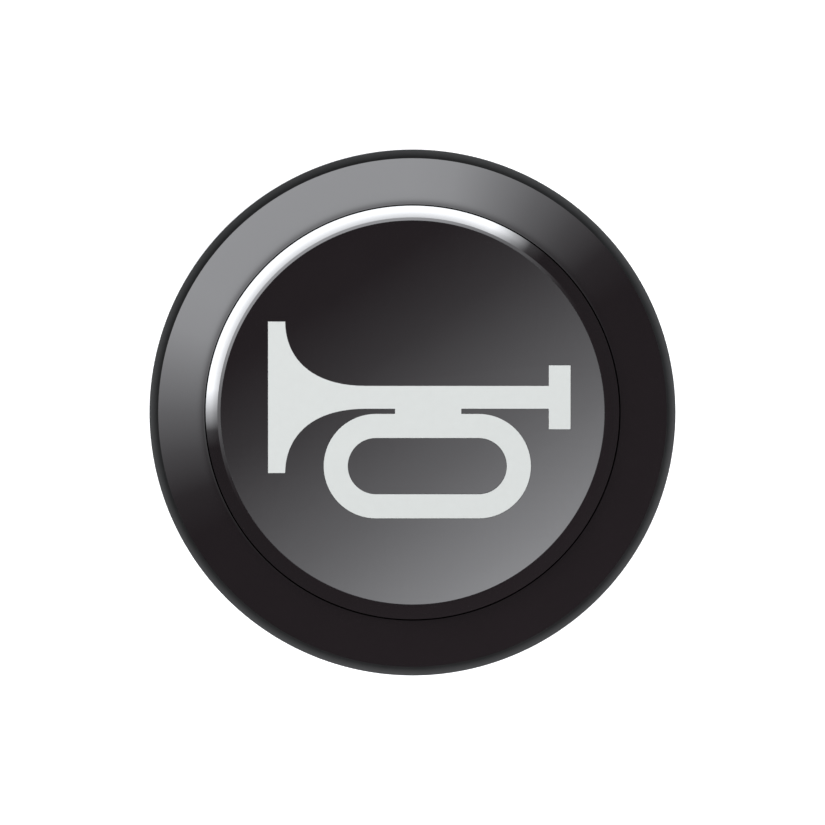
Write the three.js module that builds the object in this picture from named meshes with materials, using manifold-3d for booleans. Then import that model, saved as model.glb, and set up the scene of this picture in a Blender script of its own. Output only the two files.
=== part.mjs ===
// Horn push button: a round, panel-mounted momentary push button that sounds a horn.
// Millimetres, +Z out of the panel towards the finger, +Y towards the top of the horn symbol.
// The origin is the centre of the panel hole, on the panel's front surface.
//
// In front of the panel are the gasket, the bezel and the cap. Behind it are the threaded barrel with its
// washer and ring nut, the carrier with its release slide, and the contact block with two screw terminals.

import * as THREE from "three";
import { mergeVertices } from "three/addons/utils/BufferGeometryUtils.js";
import Module from "manifold-3d";

const wasm = await Module();
wasm.setup();

// Driving dimensions.
const HOLE_R = 11.15; // the standard 22.3 mm panel hole
const NOTCH_W = 3.2; // the hole's anti-rotation notch, at the top
const NOTCH_R = 12.95; // how far that notch reaches from the centre
const PANEL_T = 3; // the panel that the drawn washer and gasket would clamp
const HEAD_R = 14.75;
const BEZEL_R = 14.25;
const BEZEL_TOP = 10.2;
const CAP_R = 11.56;
const FACE_R = 10.7;
const CAP_TOP = 11.46;
const DISH_DEPTH = 0.5;
const PRESS = 4; // full travel of the cap
const CONTACT_TRAVEL = 2.4; // travel that closes the contacts; the rest is taken up by the contact spring
const BARREL_R = 10.9;
const BORE_R = 9.3;
const STEM_R = 5;
const BLOCK_TOP = -20.05;
const BLOCK_BOTTOM = -41;
const TOUCH = 0.05; // left between faces that touch
const SLIDE = 0.1; // left around pieces that slide

const ROUND = 48; // sides of the large rings
const SMALL = 24; // sides of the inner turned pieces
const FINE = 16; // sides of pins, screws and rivets

const blackGloss = new THREE.MeshStandardMaterial({ color: 0x231f20, roughness: 0.12, metalness: 0 });
const blackSatin = new THREE.MeshStandardMaterial({ color: 0x262425, roughness: 0.45, metalness: 0 });
const faceGrey = new THREE.MeshStandardMaterial({ color: 0x2b292a, roughness: 0.25, metalness: 0 });
const paleLegend = new THREE.MeshStandardMaterial({ color: 0xdce0df, roughness: 0.5, metalness: 0 });
const rubber = new THREE.MeshStandardMaterial({ color: 0x3a3b3b, roughness: 0.75, metalness: 0 });
const greyPlastic = new THREE.MeshStandardMaterial({ color: 0x8a8d8f, roughness: 0.5, metalness: 0 });
const naturalPlastic = new THREE.MeshStandardMaterial({ color: 0xe4e1d8, roughness: 0.45, metalness: 0 });
const greenPlastic = new THREE.MeshStandardMaterial({ color: 0x2f8f4e, roughness: 0.45, metalness: 0 });
const amberPlastic = new THREE.MeshStandardMaterial({ color: 0xd9a21b, roughness: 0.45, metalness: 0 });
const springSteel = new THREE.MeshStandardMaterial({ color: 0xb8babd, roughness: 0.3, metalness: 1 });
const zincSteel = new THREE.MeshStandardMaterial({ color: 0xc9ccd0, roughness: 0.35, metalness: 1 });
const brass = new THREE.MeshStandardMaterial({ color: 0xcfa75a, roughness: 0.35, metalness: 1 });
const silver = new THREE.MeshStandardMaterial({ color: 0xe6e6e4, roughness: 0.25, metalness: 1 });

// A closed geometry as a solid for cutting and joining.
function solidOf(geometry) {
  const flat = geometry.index ? geometry.toNonIndexed() : geometry.clone();
  flat.deleteAttribute("normal");
  flat.deleteAttribute("uv");
  const merged = mergeVertices(flat, 1e-4);
  return new wasm.Manifold(
    new wasm.Mesh({
      numProp: 3,
      vertProperties: merged.attributes.position.array,
      triVerts: new Uint32Array(merged.index.array),
    }),
  );
}

function geometryOf(solid) {
  const mesh = solid.getMesh();
  const geometry = new THREE.BufferGeometry();
  geometry.setAttribute("position", new THREE.BufferAttribute(mesh.vertProperties, 3));
  geometry.setIndex(new THREE.BufferAttribute(mesh.triVerts, 1));
  geometry.computeVertexNormals();
  return geometry;
}

const cut = (from, ...tools) => geometryOf(tools.reduce((a, b) => a.subtract(solidOf(b)), solidOf(from)));
const join = (first, ...rest) => geometryOf(rest.reduce((a, b) => a.add(solidOf(b)), solidOf(first)));
const common = (a, b) => geometryOf(solidOf(a).intersect(solidOf(b)));

// A profile of [radius, height] points turned about Z. It starts and ends on the axis, or closes on itself.
function turned(profile, sides) {
  const closed = profile[0][0] > 0;
  const outline = closed ? [...profile, profile[0]] : profile;
  const wedge = ([r0, z0], [r1, z1]) => r0 * z1 - r1 * z0;
  const area = outline.slice(1).reduce((sum, point, i) => sum + wedge(outline[i], point), 0);
  const points = outline.map(([r, z]) => new THREE.Vector2(r, z));
  if (area < 0) points.reverse();
  return new THREE.LatheGeometry(points, sides).rotateX(Math.PI / 2);
}

const ring = (inner, outer, low, high, sides) =>
  turned([[inner, low], [outer, low], [outer, high], [inner, high]], sides);
const disc = (radius, low, high, sides) => ring(0, radius, low, high, sides);

// A box from its lowest corner to its highest.
function block(low, high) {
  const size = high.map((v, i) => v - low[i]);
  const middle = high.map((v, i) => (v + low[i]) / 2);
  return new THREE.BoxGeometry(...size).translate(...middle);
}

// A flat outline raised from one height to another.
function plate(shape, low, high, segments = 8) {
  const options = { depth: high - low, bevelEnabled: false, curveSegments: segments };
  return new THREE.ExtrudeGeometry(shape, options).translate(0, 0, low);
}

// A round rod along X, between two distances from the axis.
const rodAlongX = (radius, from, to, sides) => disc(radius, from, to, sides).rotateY(Math.PI / 2);

function piece(name, geometry, material, z = 0) {
  const mesh = new THREE.Mesh(geometry, material);
  mesh.name = name;
  mesh.position.z = z;
  return mesh;
}

// ---- Head: what clamps the panel ----

const GASKET_T = 1.2;
const FLANGE_Z = GASKET_T + TOUCH;
const KEY_W = 3;
const KEY_R = 12.7;

function panelGasket() {
  const lip = 0.4; // rounding of the edge that shows round the bezel
  const edge = [0, 30, 60, 90].map((degrees) => {
    const a = THREE.MathUtils.degToRad(degrees);
    return [HEAD_R - lip + lip * Math.cos(a), GASKET_T - lip + lip * Math.sin(a)];
  });
  const body = turned([[HOLE_R + 0.15, 0], [HEAD_R, 0], ...edge, [HOLE_R + 0.15, GASKET_T]], ROUND);
  const keyway = block([-NOTCH_W / 2, 0, -1], [NOTCH_W / 2, NOTCH_R - 0.1, GASKET_T + 1]);
  return piece("panel_gasket", cut(body, keyway), rubber);
}

// The bezel's crown eases from steep at the rim to nearly flat, and rounds over at the lip.
function bezelRing() {
  const height = BEZEL_TOP - FLANGE_Z;
  const steep = THREE.MathUtils.degToRad(26);
  const easy = THREE.MathUtils.degToRad(10.5);
  const lipR = CAP_R + SLIDE;
  const roundR = 2.2;
  const startR = lipR + roundR * Math.sin(easy);
  const startZ = height - roundR * (1 - Math.cos(easy));
  const crownR = (BEZEL_R - 0.12 - startR) / (Math.sin(steep) - Math.sin(easy));
  const crown = [0, 0.25, 0.5, 0.75, 1].map((t) => {
    const a = steep + (easy - steep) * t;
    const drop = crownR * (Math.cos(easy) - Math.cos(a));
    return [startR + crownR * (Math.sin(a) - Math.sin(easy)), startZ - drop];
  });
  const rim = [BEZEL_R, crown[0][1] - 0.12];
  const insideR = 13.05;
  const lipLow = CUP_TOP + 0.1 - FLANGE_Z;
  const lip = [[lipR, height], [lipR, lipLow], [insideR, lipLow]];
  const profile = [[insideR, 0], [BEZEL_R, 0], rim, ...crown, ...lip];
  return piece("bezel_ring", turned(profile, ROUND), blackGloss, FLANGE_Z);
}

const CUP_TOP = 8.6;
const SEAL_R = 7.5;
const SEAL_Z = -1.55;
const GUIDE_BOTTOM = -3.5; // underside of the web that guides the stem and stops the plunger
const BARREL_END = -16.5;
const LATCH_Z = -12.8;
const LATCH_H = 1.8;
const LATCH_GROOVE_R = 10.2;

// A cup round the cap, a web that guides the stem and holds its seal, and a long tube round the spring.
function barrel() {
  const cupR = CAP_R + 0.26;
  const guideR = STEM_R + 0.15;
  const cup = [[12.9, FLANGE_Z], [12.9, CUP_TOP], [cupR, CUP_TOP], [cupR, 2.7], [BORE_R, 2.7], [BORE_R, 0.3]];
  const pocketR = SEAL_R + SLIDE;
  const pocketLow = SEAL_Z - TOUCH;
  const web = [[pocketR, 0.3], [pocketR, pocketLow], [guideR, pocketLow], [guideR, GUIDE_BOTTOM]];
  const tube = [[BORE_R, GUIDE_BOTTOM], [BORE_R, BARREL_END], [BARREL_R, BARREL_END]];
  const grooveLow = [[BARREL_R, LATCH_Z - LATCH_H], [LATCH_GROOVE_R, LATCH_Z - LATCH_H]];
  const grooveHigh = [[LATCH_GROOVE_R, LATCH_Z], [BARREL_R, LATCH_Z]];
  const shell = turned([...cup, ...web, ...tube, ...grooveLow, ...grooveHigh, [BARREL_R, FLANGE_Z]], ROUND);
  const key = block([-KEY_W / 2, BARREL_R - 0.5, -2], [KEY_W / 2, KEY_R, FLANGE_Z + 0.5]);
  return piece("barrel", join(shell, key), blackSatin);
}

// A rubber ring with a thin inner lip that wipes the stem.
function lipSeal() {
  const lip = STEM_R + TOUCH;
  const heel = [[lip, 0.3], [lip + 0.5, 0], [SEAL_R, 0], [SEAL_R, 1.6]];
  const mouth = [[6.6, 1.6], [6.3, 0.9], [5.7, 0.9], [lip, 1.7]];
  return piece("lip_seal", turned([...heel, ...mouth], SMALL), rubber, SEAL_Z);
}

const WASHER_T = 0.8;

function lockWasher() {
  return piece("lock_washer", ring(BARREL_R + 0.2, 14.2, 0, WASHER_T, ROUND), zincSteel, -PANEL_T - WASHER_T);
}

// Round nut with six notches for the ring spanner.
function ringNut() {
  const height = 5.5;
  const outer = 14;
  const body = turned([[10.98, 0], [outer - 0.5, 0], [outer, 0.5], [outer, height], [10.98, height]], ROUND);
  const notch = block([outer - 1.5, -1.5, -1], [outer + 1, 1.5, height + 1]);
  const notches = Array.from({ length: 6 }, (_, i) => notch.clone().rotateZ(((i + 0.5) * Math.PI) / 3));
  return piece("ring_nut", cut(body, ...notches), blackSatin, -PANEL_T - WASHER_T - 0.1 - height);
}

const RETAINER_T = 1.2;
const RETAINER_Z = -16.4;

// A disc that closes the barrel under the return spring, with a collar round the plunger's pin.
function springRetainer() {
  const rim = BORE_R - SLIDE;
  const floor = [[2.3, 0], [rim, 0], [rim, RETAINER_T], [4.2, RETAINER_T]];
  const collar = [[3.6, 1.9], [2.3, 1.9]];
  return piece("spring_retainer", turned([...floor, ...collar], SMALL), naturalPlastic, RETAINER_Z);
}

// ---- Actuator: what the finger moves ----

const DISH_R = (FACE_R * FACE_R) / (2 * DISH_DEPTH); // radius of the shallow concave face
const dishZ = (r) => CAP_TOP - 0.04 - DISH_DEPTH + (r * r) / (2 * DISH_R);
const RECESS_Z = 9.35;
const WEB_Z = 8.2;
const SKIRT_Z = 3.2 + PRESS; // the skirt ends 0.5 mm above the cup's floor when pressed

// The cap: a socket for the stem below, a skirt, a chamfered rim, and a recess for the face above.
function capShell() {
  const edge = 0.06;
  const socketR = STEM_R + TOUCH;
  const socketLow = 4.9;
  const socket = [[0, WEB_Z], [socketR, WEB_Z], [socketR, socketLow], [6.6, socketLow], [6.6, WEB_Z]];
  const chamferLow = CAP_TOP - (CAP_R - FACE_R - edge);
  const skirt = [[10.4, WEB_Z], [10.4, SKIRT_Z], [CAP_R, SKIRT_Z], [CAP_R, chamferLow]];
  const rim = [[FACE_R + edge, CAP_TOP], [FACE_R, CAP_TOP], [FACE_R, RECESS_Z], [0, RECESS_Z]];
  return piece("cap_shell", turned([...socket, ...skirt, ...rim], ROUND), blackGloss);
}

// The horn symbol: bell, tube, mouthpiece and the coiled loop under the tube. grow widens every edge.
const SYMBOL_AXIS_Y = 0.846;

function symbolOutline(grow) {
  const y0 = SYMBOL_AXIS_Y;
  const tube = 0.635 + grow;
  const bell = { left: -8.05 - grow, right: -7.1 + grow, half: 4.22 + grow };
  const mouth = { left: 7.6 - grow, right: 8.81 + grow, half: 1.78 + grow };
  const web = { left: -0.97 - grow, right: 2.72 + grow };
  const loop = { left: -2.04, right: 3.69, y: -2.99, outer: 2.91 + grow, inner: 1.57 - grow };
  const flare = { start: -2.6, pullX: -5.84, pullY: 2.37 };
  const outline = new THREE.Shape();
  outline.moveTo(bell.left, y0 - bell.half);
  outline.lineTo(bell.right, y0 - bell.half);
  outline.bezierCurveTo(bell.right, y0 - flare.pullY, flare.pullX, y0 - tube, flare.start, y0 - tube);
  outline.lineTo(web.left, y0 - tube);
  outline.lineTo(web.left, loop.y + loop.outer);
  outline.lineTo(loop.left, loop.y + loop.outer);
  outline.absarc(loop.left, loop.y, loop.outer, Math.PI / 2, (3 * Math.PI) / 2, false);
  outline.lineTo(loop.right, loop.y - loop.outer);
  outline.absarc(loop.right, loop.y, loop.outer, -Math.PI / 2, Math.PI / 2, false);
  outline.lineTo(web.right, loop.y + loop.outer);
  outline.lineTo(web.right, y0 - tube);
  outline.lineTo(mouth.left, y0 - tube);
  outline.lineTo(mouth.left, y0 - mouth.half);
  outline.lineTo(mouth.right, y0 - mouth.half);
  outline.lineTo(mouth.right, y0 + mouth.half);
  outline.lineTo(mouth.left, y0 + mouth.half);
  outline.lineTo(mouth.left, y0 + tube);
  outline.lineTo(flare.start, y0 + tube);
  outline.bezierCurveTo(flare.pullX, y0 + tube, bell.right, y0 + flare.pullY, bell.right, y0 + bell.half);
  outline.lineTo(bell.left, y0 + bell.half);
  const eye = new THREE.Path();
  eye.absarc(loop.left, loop.y, loop.inner, Math.PI / 2, (3 * Math.PI) / 2, false);
  eye.lineTo(loop.right, loop.y - loop.inner);
  eye.absarc(loop.right, loop.y, loop.inner, -Math.PI / 2, Math.PI / 2, false);
  eye.lineTo(loop.left, loop.y + loop.inner);
  outline.holes.push(eye);
  return outline;
}

// A round plate whose top is the dish.
function dished(radius, low) {
  const top = [1, 0.75, 0.5, 0.25, 0].map((share) => [radius * share, dishZ(radius * share)]);
  return turned([[0, low], [radius, low], ...top], ROUND);
}

const LEGEND_FLOOR = 10.1;

function faceDisc() {
  const body = dished(FACE_R - TOUCH, RECESS_Z + TOUCH);
  const pocket = plate(symbolOutline(0.04), LEGEND_FLOOR, CAP_TOP + 1);
  return piece("face_disc", cut(body, pocket), faceGrey);
}

function hornSymbol() {
  const body = dished(FACE_R - 0.5, LEGEND_FLOOR + TOUCH);
  const outline = plate(symbolOutline(0), LEGEND_FLOOR - 1, CAP_TOP + 1);
  return piece("horn_symbol", common(body, outline), paleLegend);
}

const FLANGE_TOP = GUIDE_BOTTOM - 0.1;
const FLANGE_T = 1.4;
const PIN_TIP = -16.95;

function plunger() {
  const under = FLANGE_TOP - FLANGE_T;
  const profile = [
    [0, PIN_TIP], [1.6, PIN_TIP], [2, PIN_TIP + 0.4], [2, under - 2.6], [4, under - 1.8], [4, under],
    [8.6, under], [8.6, FLANGE_TOP], [STEM_R, FLANGE_TOP], [STEM_R, WEB_Z - 0.1], [0, WEB_Z - 0.1],
  ];
  return piece("plunger", turned(profile, SMALL), naturalPlastic);
}

// ---- Springs ----

class Coil extends THREE.Curve {
  constructor(radius, low, high, turns) {
    super();
    Object.assign(this, { radius, low, high, turns });
  }
  getPoint(t, target = new THREE.Vector3()) {
    const a = 2 * Math.PI * this.turns * t;
    const z = this.low + (this.high - this.low) * t;
    return target.set(this.radius * Math.cos(a), this.radius * Math.sin(a), z);
  }
}

// A coil spring whose wire fills the space from low to high.
function spring(name, radius, wire, low, high, turns) {
  const section = new THREE.Shape();
  section.absarc(0, 0, wire / 2, 0, 2 * Math.PI, false);
  const path = new Coil(radius, low + wire * 0.55, high - wire * 0.55, turns);
  const options = { steps: turns * 10, extrudePath: path, curveSegments: 3 };
  return piece(name, new THREE.ExtrudeGeometry(section, options), springSteel);
}

// ---- Carrier: clips the contact block to the barrel ----

const CARRIER_R = 13.2;
const CARRIER_BOTTOM = -20;
const SPIGOT_R = 6;
const SLIDE_W = 6;
const SLIDE_LOW = LATCH_Z - LATCH_H + 0.2;
const SLIDE_HIGH = LATCH_Z - 0.2;

function carrier() {
  const bore = BARREL_R + SLIDE;
  const floorTop = RETAINER_Z - 0.15;
  const hole = SPIGOT_R + SLIDE;
  const shell = turned(
    [
      [hole, CARRIER_BOTTOM], [CARRIER_R, CARRIER_BOTTOM], [CARRIER_R, -11.5], [CARRIER_R - 0.5, -11],
      [bore, -11], [bore, floorTop], [hole, floorTop],
    ],
    ROUND,
  );
  const window = block(
    [bore - 1, -SLIDE_W / 2 - SLIDE, SLIDE_LOW - SLIDE],
    [CARRIER_R + 1, SLIDE_W / 2 + SLIDE, SLIDE_HIGH + SLIDE],
  );
  return piece("carrier", cut(shell, window), greyPlastic);
}

// A flat slide whose curved tip sits in the barrel's groove, with a thumb tab outside.
function releaseSlide() {
  const half = SLIDE_W / 2;
  const tipAngle = 0.25;
  const tongue = new THREE.Shape();
  tongue.moveTo(CARRIER_R + 0.3, -half);
  tongue.lineTo(CARRIER_R + 0.3, half);
  tongue.lineTo(BARREL_R, half);
  tongue.absarc(0, 0, LATCH_GROOVE_R + SLIDE, tipAngle, -tipAngle, true);
  tongue.lineTo(BARREL_R, -half);
  const tab = block([CARRIER_R + 0.1, -3.4, SLIDE_LOW - 0.6], [CARRIER_R + 0.9, 3.4, SLIDE_HIGH + 0.6]);
  return piece("release_slide", join(plate(tongue, SLIDE_LOW, SLIDE_HIGH, 5), tab), amberPlastic);
}

// ---- Contact block ----

const BLOCK_FACE = 9.7; // half the block's width at the terminals
const CHEEK = 13; // how far the walls beside each terminal stand out
const CAVITY_Y = 4.4;
const HOUSING_BOTTOM = -38.5;
const TERMINAL_Z = -30.8;
const CONTACT_Z = -34.9; // top of the fixed contact strips
const STRIP_T = 0.6;
const CARRIAGE_TOP = PIN_TIP - 0.1;
const CARRIAGE_SHOULDER = -23.1;
const WINDOW_TOP = -25;
const SILL = -31.4; // the bridge rests here until the contacts close
const CARRIAGE_BOTTOM = -33.5;

// The block's eight-sided outline, drawn in by inset on every side.
function blockOutline(inset = 0) {
  const quarter = [[CHEEK - inset, 5.4 - inset], [BLOCK_FACE - inset, 9 - inset]];
  const front = [...quarter, ...quarter.map(([x, y]) => [-x, y]).reverse()];
  const all = [...front, ...front.map(([x, y]) => [-x, -y])];
  return new THREE.Shape(all.map(([x, y]) => new THREE.Vector2(x, y)));
}

// The two terminals are alike: each of their pieces is drawn at +X, and turned half round for -X.
const bothSides = (geometry) => [geometry, geometry.clone().rotateZ(Math.PI)];
const atBothSides = (make) => [make("right"), make("left")];

function toSide(side, mesh) {
  if (side === "left") {
    mesh.rotation.z = Math.PI;
    mesh.position.x *= -1;
  }
  return mesh;
}

const COVER_SCREW_Y = 6.7;
const GUIDE_R = 2.35;
const SPRING_POCKET_Z = HOUSING_BOTTOM - 1.1;

function blockHousing() {
  const below = HOUSING_BOTTOM - 1;
  const beyond = CHEEK + 1;
  const body = plate(blockOutline(), HOUSING_BOTTOM, BLOCK_TOP);
  const spigot = disc(SPIGOT_R, BLOCK_TOP - 0.5, -17.25, SMALL);
  const guide = disc(GUIDE_R, CARRIAGE_SHOULDER - 1, -16, FINE);
  const cavity = block([-7, -CAVITY_Y, below], [7, CAVITY_Y, CARRIAGE_SHOULDER + TOUCH]);
  const channel = block([BLOCK_FACE, -3.9, below], [beyond, 3.9, -25.5]);
  const stripSlot = block([6, -2.6, CONTACT_Z - STRIP_T - SLIDE], [CHEEK, 2.6, CONTACT_Z + SLIDE]);
  const nutPocket = block([7.7, -2.85, TERMINAL_Z - 2.85], [CHEEK, 2.85, TERMINAL_Z + 2.85]);
  const screwHole = rodAlongX(1.7, 6.5, CHEEK, FINE).translate(0, 0, TERMINAL_Z);
  const coverHole = disc(1, below, -31.5, FINE).translate(0, COVER_SCREW_Y, 0);
  const mirrored = [channel, stripSlot, nutPocket, screwHole, coverHole].flatMap(bothSides);
  return piece("block_housing", cut(join(body, spigot), guide, cavity, ...mirrored), greyPlastic);
}

function blockCover() {
  const above = HOUSING_BOTTOM + 1;
  const below = BLOCK_BOTTOM - 1;
  const sinkTop = BLOCK_BOTTOM + 1.5;
  const body = plate(blockOutline(0.15), BLOCK_BOTTOM, HOUSING_BOTTOM - TOUCH);
  const springPocket = disc(2.4, SPRING_POCKET_Z, above, FINE);
  const wireWay = block([BLOCK_FACE + 0.8, -3.4, below], [CHEEK + 1, 3.4, above]);
  const sink = [[0, below], [2.1, below], [2.1, sinkTop - 0.9]];
  const shaft = [[1.15, sinkTop], [1.15, above], [0, above]];
  const screwHole = turned([...sink, ...shaft], FINE).translate(0, COVER_SCREW_Y, 0);
  const mirrored = [wireWay, screwHole].flatMap(bothSides);
  return piece("block_cover", cut(body, springPocket, ...mirrored), blackSatin);
}

// A countersunk self-tapping screw, head down.
function coverScrew(name, y) {
  const head = BLOCK_BOTTOM + 0.1;
  const profile = [[0, head], [2, head], [2, head + 0.5], [0.9, head + 1.55], [0.9, -32.6], [0, -32]];
  const slot = block([-3, -0.25, head - 1], [3, 0.25, head + 0.35]);
  const screw = piece(name, cut(turned(profile, FINE), slot), zincSteel);
  screw.position.y = y;
  return screw;
}

// The moving carriage: a push pin above a frame whose window holds the contact bridge and its spring.
function contactCarriage() {
  const pin = disc(GUIDE_R - 0.15, CARRIAGE_SHOULDER - 1, CARRIAGE_TOP, FINE);
  const frame = block([-2.5, -3, CARRIAGE_BOTTOM], [2.5, 3, CARRIAGE_SHOULDER]);
  const window = block([-4, -1.8, SILL], [4, 1.8, WINDOW_TOP]);
  const springPeg = disc(1, CARRIAGE_BOTTOM - 1.4, CARRIAGE_BOTTOM + 0.5, FINE);
  return piece("contact_carriage", join(cut(join(pin, frame), window), springPeg), greenPlastic);
}

const BRIDGE_T = 0.5;
const BRIDGE_Z = SILL + TOUCH;
const TIP_X = 5.2;
const TIP_T = 0.55;
const FIXED_TIP_T = BRIDGE_Z - TIP_T - CONTACT_TRAVEL - CONTACT_Z - 2 * TOUCH;

function contactBridge() {
  return piece("contact_bridge", block([-6.2, -1.5, 0], [6.2, 1.5, BRIDGE_T]), brass, BRIDGE_Z);
}

function bridgeTip(side) {
  const tip = piece(`bridge_tip_${side}`, disc(1.1, 0, TIP_T - TOUCH, FINE), silver, BRIDGE_Z - TIP_T);
  tip.position.x = TIP_X;
  return toSide(side, tip);
}

function fixedTip(side) {
  const tip = piece(`fixed_tip_${side}`, disc(1.2, TOUCH, FIXED_TIP_T, FINE), silver, CONTACT_Z);
  tip.position.x = TIP_X;
  return toSide(side, tip);
}

// A bent brass strip: inside it carries the fixed contact, outside it stands up under the clamp plate.
function fixedContact(side) {
  const outer = BLOCK_FACE + 0.1 + STRIP_T;
  const inside = block([3.7, -2.4, CONTACT_Z - STRIP_T], [outer, 2.4, CONTACT_Z]);
  const upright = block([outer - STRIP_T, -3, CONTACT_Z - STRIP_T], [outer, 3, TERMINAL_Z + 3.4]);
  const hole = rodAlongX(1.7, BLOCK_FACE - 1, CHEEK, FINE).translate(0, 0, TERMINAL_Z);
  return toSide(side, piece(`fixed_contact_${side}`, cut(join(inside, upright), hole), brass));
}

const PLATE_X = BLOCK_FACE + 0.1 + STRIP_T + TOUCH;
const PLATE_T = 0.8;

function clampPlate(side) {
  const body = block([0, -3.2, -3.2], [PLATE_T, 3.2, 3.2]);
  const mesh = piece(`clamp_plate_${side}`, cut(body, rodAlongX(1.65, -1, 2, FINE)), zincSteel, TERMINAL_Z);
  mesh.position.x = PLATE_X;
  return toSide(side, mesh);
}

function terminalScrew(side) {
  const seat = PLATE_X + PLATE_T + TOUCH;
  const top = seat + 1.5;
  const profile = [[0, 7.3], [1.45, 7.5], [1.45, seat], [2.6, seat], [2.6, top - 0.4], [2, top], [0, top]];
  const slot = block([top - 0.7, -3, -0.35], [top + 1, 3, 0.35]);
  const screw = cut(turned(profile, FINE).rotateY(Math.PI / 2), slot);
  return toSide(side, piece(`terminal_screw_${side}`, screw, zincSteel, TERMINAL_Z));
}

function terminalNut(side) {
  const body = block([7.75, -2.75, -2.75], [9.6, 2.75, 2.75]);
  const nut = cut(body, rodAlongX(1.5, 7, 10, FINE));
  return toSide(side, piece(`terminal_nut_${side}`, nut, zincSteel, TERMINAL_Z));
}

// ---- Assembly ----

const head = new THREE.Group();
head.add(panelGasket(), bezelRing(), barrel(), lipSeal(), lockWasher(), ringNut(), springRetainer());

const actuator = new THREE.Group();
actuator.add(capShell(), faceDisc(), hornSymbol(), plunger());

const springs = new THREE.Group();
springs.add(
  spring("return_spring", 6.6, 0.8, RETAINER_Z + RETAINER_T + TOUCH, FLANGE_TOP - FLANGE_T - TOUCH, 5),
  spring("contact_spring", 1.25, 0.35, BRIDGE_Z + BRIDGE_T + TOUCH, WINDOW_TOP - TOUCH, 5),
  spring("carriage_spring", 1.6, 0.35, SPRING_POCKET_Z + TOUCH, CARRIAGE_BOTTOM - TOUCH, 4),
);

const clip = new THREE.Group();
clip.add(carrier(), releaseSlide());

const contactBlock = new THREE.Group();
contactBlock.add(
  blockHousing(),
  blockCover(),
  coverScrew("cover_screw_front", -COVER_SCREW_Y),
  coverScrew("cover_screw_back", COVER_SCREW_Y),
  contactCarriage(),
  contactBridge(),
  ...[bridgeTip, fixedTip, fixedContact, clampPlate, terminalScrew, terminalNut].flatMap(atBothSides),
);

const hornPushButton = new THREE.Group();
hornPushButton.add(head, actuator, springs, clip, contactBlock);

export default hornPushButton;
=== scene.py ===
"""A horn push button: a round push button for a panel, with a pale bugle on its dished black cap.

Pieces are drawn in millimetres, in the CAD model's frame, and each finished mesh is in metres.
"""

import math

import bmesh
import bpy
from mathutils import Matrix, Vector


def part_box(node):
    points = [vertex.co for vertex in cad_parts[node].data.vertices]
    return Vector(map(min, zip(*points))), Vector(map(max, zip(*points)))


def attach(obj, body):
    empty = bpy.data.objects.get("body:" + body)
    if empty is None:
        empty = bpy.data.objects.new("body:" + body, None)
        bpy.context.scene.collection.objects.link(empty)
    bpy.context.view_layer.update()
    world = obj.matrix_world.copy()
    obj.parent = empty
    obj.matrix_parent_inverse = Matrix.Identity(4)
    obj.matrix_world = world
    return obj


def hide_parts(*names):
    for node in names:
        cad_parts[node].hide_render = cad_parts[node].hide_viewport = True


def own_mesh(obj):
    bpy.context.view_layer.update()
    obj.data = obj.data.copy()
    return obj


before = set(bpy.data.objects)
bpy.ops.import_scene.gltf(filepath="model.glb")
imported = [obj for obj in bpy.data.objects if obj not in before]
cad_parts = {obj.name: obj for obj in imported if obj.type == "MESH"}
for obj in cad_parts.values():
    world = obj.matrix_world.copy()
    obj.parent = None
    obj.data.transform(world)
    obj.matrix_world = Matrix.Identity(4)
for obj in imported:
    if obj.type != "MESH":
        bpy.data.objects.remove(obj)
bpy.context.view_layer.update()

MM = 0.001


def box_mm(node):
    """A CAD node's lowest and highest corner, in millimetres."""
    low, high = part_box(node)
    return low / MM, high / MM


# ---- Sizes, most of them taken from the frame ----

GASKET_HIGH = box_mm("panel_gasket")[1]
BEZEL_LOW, BEZEL_HIGH = box_mm("bezel_ring")
CAP_LOW, CAP_HIGH = box_mm("cap_shell")
FACE_LOW, FACE_HIGH = box_mm("face_disc")
SNUG = 0.045  # how far the finished face and bezel close the gap that the solids keep
HEAD_R = GASKET_HIGH.x
BEZEL_R = BEZEL_HIGH.x - 0.062
CAP_R = CAP_HIGH.x - 0.028
LIP_R = CAP_HIGH.x + SNUG  # the bezel's lip round the cap
FACE_R = FACE_HIGH.x + SNUG
DISH_DEPTH = 0.5
DISH_R = FACE_R**2 / (2 * DISH_DEPTH)  # radius of the shallow concave face
INLAY_GAP = 0.025  # between the bugle and its pocket
POCKET_Z = 10.3

BARREL_R = 10.9  # crest of the barrel's thread
BARREL_CORE_R = 10.35
GUIDE_R = 5.15  # hole that the stem slides in

SCREW_Z = -30.8  # the terminal screws' height
CONTACT_X = 5.2  # from the axis to the contact tips
LID_SCREW_Y = 6.7
CASE_TOP = -20.05
FLOOR_Z = box_mm("block_cover")[0].z
SIDES = ((0, "right"), (180, "left"))  # each end of the block, and its turn about Z in degrees

ROUND = 192  # sides of the large rings


def dish_height(x, y):
    """The height of the face's concave surface."""
    return FACE_HIGH.z - DISH_DEPTH + (x * x + y * y) / (2 * DISH_R)


# ---- Shader maths ----


class Value:
    """A node's output. Arithmetic on it adds Math nodes to its tree."""

    def __init__(self, nodes, output):
        self.nodes = nodes
        self.output = output

    def maths(self, operation, *numbers):
        """A Math node on numbers or values."""
        return self.nodes.add("ShaderNodeMath", {"operation": operation}, dict(enumerate(numbers)))

    def __add__(self, other):
        return self.maths("ADD", self, other)

    def __sub__(self, other):
        return self.maths("SUBTRACT", self, other)

    def __mul__(self, other):
        return self.maths("MULTIPLY", self, other)

    def __truediv__(self, other):
        return self.maths("DIVIDE", self, other)

    def __rsub__(self, other):
        return self.maths("SUBTRACT", other, self)

    def __gt__(self, other):
        return self.maths("GREATER_THAN", self, other)

    __radd__ = __add__
    __rmul__ = __mul__


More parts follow.
